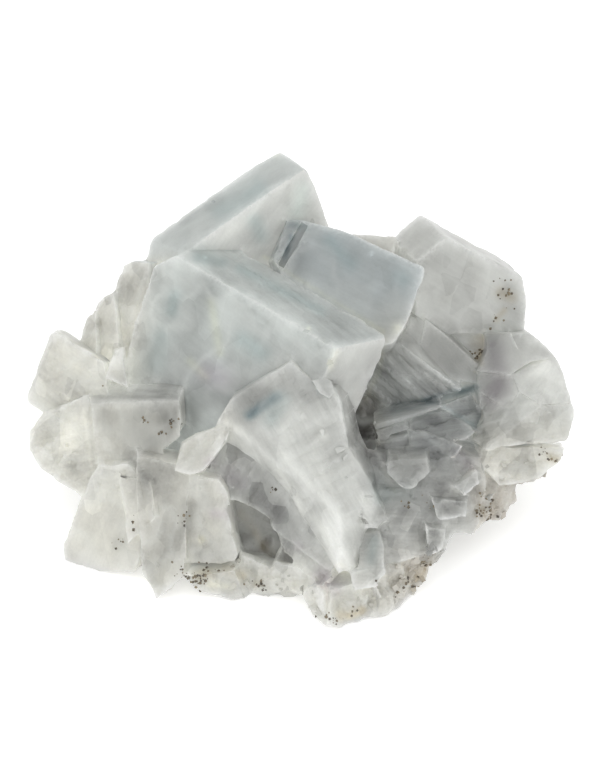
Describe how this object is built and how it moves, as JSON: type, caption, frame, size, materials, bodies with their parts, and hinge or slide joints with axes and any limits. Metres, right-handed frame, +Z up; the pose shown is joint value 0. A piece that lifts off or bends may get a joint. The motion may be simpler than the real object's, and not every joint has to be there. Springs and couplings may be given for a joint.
{
  "type": "rough barite crystal cluster",
  "caption": "Rough barite specimen: a cluster of thick, milky grey tabular crystals grown together on a broken base, resting on a flat underside.",
  "frame": {"origin": "bottom centre of the bounding box, on the flat underside", "axes": "+Z up, +X to the right along the longest extent, -Y towards the side that shows the largest crystals"},
  "size_m": [0.0932, 0.073, 0.0527],
  "materials": {
    "barite_cluster": "vitreous to pearly, milky and translucent, with rough cream and brown stained breaks near the base"
  },
  "bodies": {
    "root": {"barite_cluster": "barite_cluster"}
  },
  "joints": []
}
